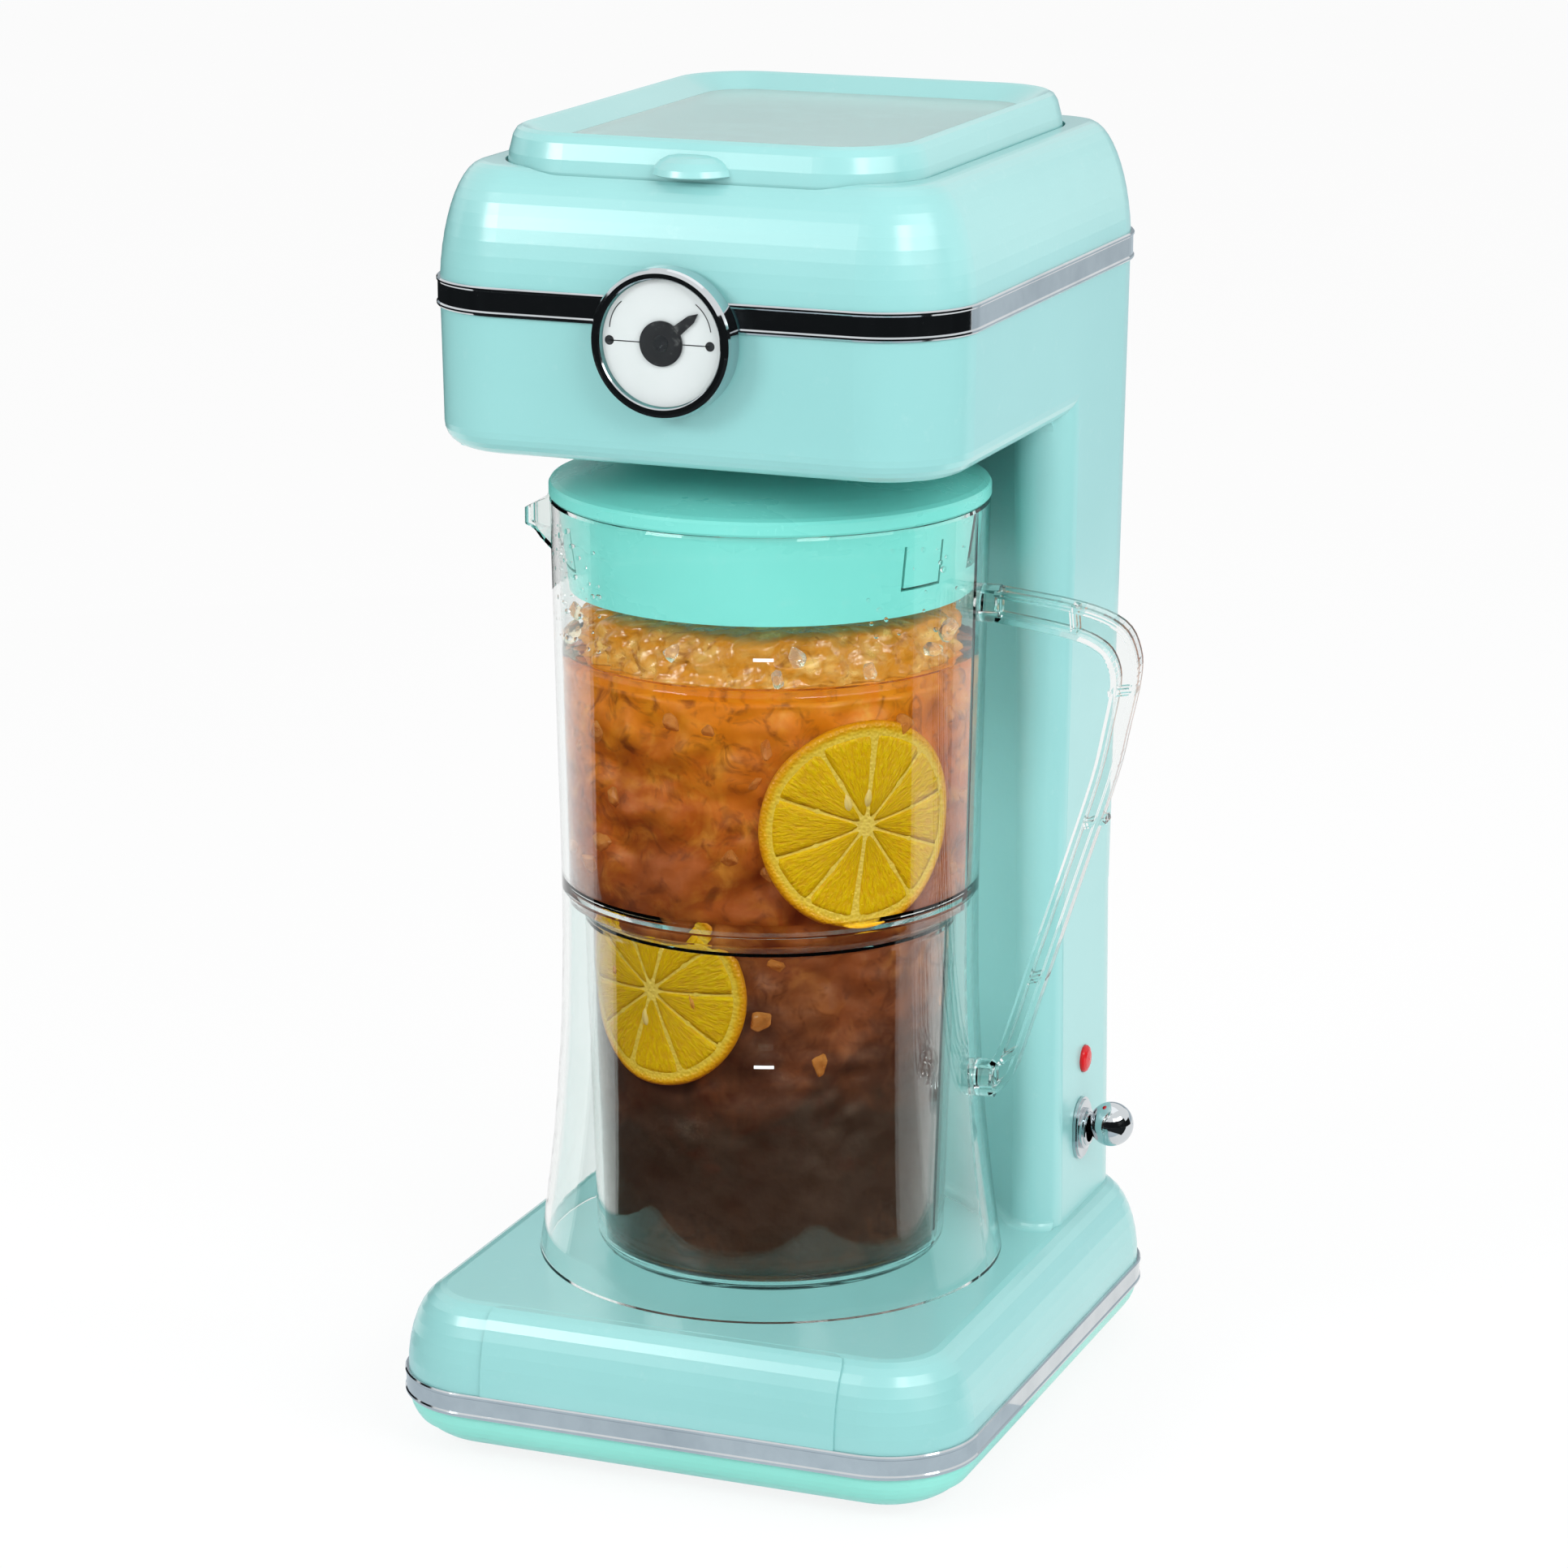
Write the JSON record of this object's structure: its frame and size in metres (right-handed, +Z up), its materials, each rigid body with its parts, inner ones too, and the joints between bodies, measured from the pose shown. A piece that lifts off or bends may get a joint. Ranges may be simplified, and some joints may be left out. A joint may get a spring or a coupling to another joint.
{
  "type": "iced tea maker",
  "caption": "Countertop iced tea maker: water tank in a domed head with a window lid, hollow column, dial, toggle, and a clear double-walled pitcher with a brew basket.",
  "frame": {"origin": "on the ground, midway between the sides of the base, in the plane the feet stand on; front to back it lies 115.4 mm behind the front of the base band", "axes": "+Z up, the front with the dial faces -Y, +X is the object's right as seen by the viewer, where the pitcher handle and the switch are"},
  "size_m": [0.2274, 0.2339, 0.443],
  "materials": {
    "aqua_shell": "glossy",
    "pan_plastic": "glossy",
    "mint_plastic": "glossy",
    "bright_trim": "polished",
    "clear_plastic": "polished",
    "window_plastic": "frosted",
    "dial_white": "satin",
    "white_plastic": "satin",
    "dark_plastic": "matte",
    "black_rubber": "matte",
    "hose_silicone": "satin",
    "grey_silicone": "matte",
    "cast_aluminium": "cast",
    "steel": "satin",
    "red_lens": "polished"
  },
  "bodies": {
    "stand": {"base_housing": "aqua_shell", "base_pan": "pan_plastic", "base_trim": "bright_trim", "base_feet": "black_rubber", "pan_screws": "steel", "heater": "cast_aluminium", "thermostat": "dark_plastic", "inlet_hose": "hose_silicone", "riser_hose": "hose_silicone", "hose_clips": "steel", "spray_arm": "white_plastic", "reservoir": "white_plastic", "outlet_seal": "grey_silicone", "head_housing": "aqua_shell", "head_cover": "aqua_shell", "cover_screws": "steel", "head_trim": "bright_trim", "rear_cover": "aqua_shell", "rear_screws": "steel", "shower_head": "white_plastic", "shower_seal": "grey_silicone", "dial_seat": "aqua_shell", "dial_face": "dial_white", "dial_nut": "dark_plastic", "hinge_pins": "steel", "switch_plate": "bright_trim", "switch_collar": "bright_trim", "switch_body": "dark_plastic", "lamp_lens": "red_lens", "lamp_body": "white_plastic", "cord_gland": "black_rubber"},
    "lid": {"lid_frame": "aqua_shell", "lid_window": "window_plastic"},
    "dial": {"dial_bezel": "bright_trim", "dial_crystal": "clear_plastic", "dial_pointer": "dark_plastic", "dial_shaft": "steel", "flow_vane": "white_plastic"},
    "switch": {"switch_lever": "bright_trim", "switch_ball": "bright_trim"},
    "pitcher": {"pitcher_vessel": "clear_plastic", "pitcher_skirt": "clear_plastic", "pitcher_handle": "clear_plastic"},
    "brew_top": {"pitcher_lid": "mint_plastic", "brew_basket": "mint_plastic", "filter_ring": "white_plastic", "filter_mesh": "white_plastic"}
  },
  "joints": [
    {"name": "lid_hinge", "type": "hinge", "parent": "stand", "child": "lid", "pos_m": [0, 0.106, 0.4357], "axis": [-1, 0, 0], "range_deg": [0, 100]},
    {"name": "dial_turn", "type": "hinge", "parent": "stand", "child": "dial", "pos_m": [0, -0.1046, 0.3823], "axis": [0, -1, 0], "range_deg": [-39, 141]},
    {"name": "switch_toggle", "type": "hinge", "parent": "stand", "child": "switch", "pos_m": [0.07995, 0.0615, 0.0832], "axis": [0, 1, 0], "range_deg": [0, 16]},
    {"name": "pitcher_slide", "type": "slide", "parent": "stand", "child": "pitcher", "axis": [0, -1, 0], "range_m": [0, 0.26]},
    {"name": "cap_turn", "type": "hinge", "parent": "pitcher", "child": "brew_top", "pos_m": [0, -0.0111, 0.3175], "axis": [0, 0, 1], "range_deg": [0, 180]}
  ]
}
